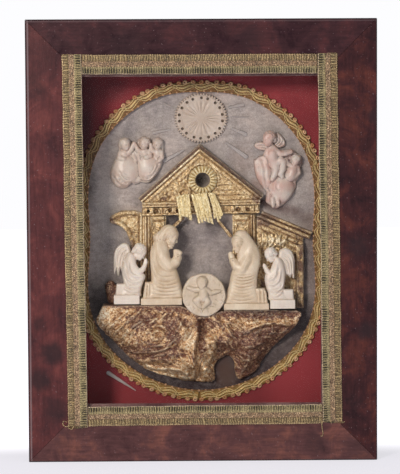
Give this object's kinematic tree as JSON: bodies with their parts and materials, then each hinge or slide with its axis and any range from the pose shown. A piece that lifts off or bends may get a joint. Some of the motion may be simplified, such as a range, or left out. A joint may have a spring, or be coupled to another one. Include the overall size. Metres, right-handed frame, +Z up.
{
  "type": "devotional shadow box",
  "caption": "Glazed mahogany shadow box holding a carved ivory nativity before a gilded ruined stable on a bark rock.",
  "frame": {"origin": "middle of the underside, halfway between the front braid and the back edge", "axes": "+Z up, -Y out through the glass, +X to the viewer's right"},
  "size_m": [0.28, 0.076, 0.354],
  "materials": {
    "mahogany": "french-polished veneer, semi-gloss",
    "plain_wood": "bare softwood, matt",
    "glass": "clear flat pane",
    "galloon": "woven metal-thread braid",
    "gold_thread": "twisted gold thread trim",
    "binding_paper": "dark red paper strip",
    "red_paper": "matt dyed paper on board",
    "grey_paper": "grey painted paper on board",
    "pale_ivory": "polished ivory",
    "white_ivory": "polished ivory, whiter",
    "tinted_ivory": "ivory tinted pink",
    "ivory": "polished ivory, warm",
    "gilded_bark": "bark with worn gilding over brown",
    "gilding": "burnished gold leaf over carved wood"
  },
  "bodies": {
    "root": {"angel_left": "white_ivory", "angel_right": "white_ivory", "back_board": "plain_wood", "brace_left": "gilding", "brace_right": "gilding", "braid_bottom": "galloon", "braid_left": "galloon", "braid_right": "galloon", "braid_top": "galloon", "broken_vault": "gilding", "case_wall_bottom": "mahogany", "case_wall_left": "mahogany", "case_wall_right": "mahogany", "case_wall_top": "mahogany", "cherubs_left": "tinted_ivory", "cherubs_right": "tinted_ivory", "child_plaque": "ivory", "fallen_ray": "pale_ivory", "front_rail_bottom": "mahogany", "front_rail_left": "mahogany", "front_rail_right": "mahogany", "front_rail_top": "mahogany", "gimp_trim": "gold_thread", "glass_binding": "binding_paper", "glass_pane": "glass", "kneeling_man": "ivory", "kneeling_woman": "ivory", "lean_to": "gilding", "oculus_ring": "gilding", "pilaster_left": "gilding", "pilaster_right": "gilding", "ray_a": "pale_ivory", "ray_b": "pale_ivory", "ray_c": "pale_ivory", "ray_d": "pale_ivory", "ray_e": "pale_ivory", "ray_f": "pale_ivory", "ray_g": "pale_ivory", "red_mount": "red_paper", "rock_ground": "gilded_bark", "rock_stub": "gilded_bark", "sky_panel": "grey_paper", "stable_entablature": "gilding", "stable_gable": "gilding", "sun_disc": "pale_ivory", "thatch_left": "gilding", "thatch_middle": "gilding", "thatch_right": "gilding"}
  },
  "joints": []
}
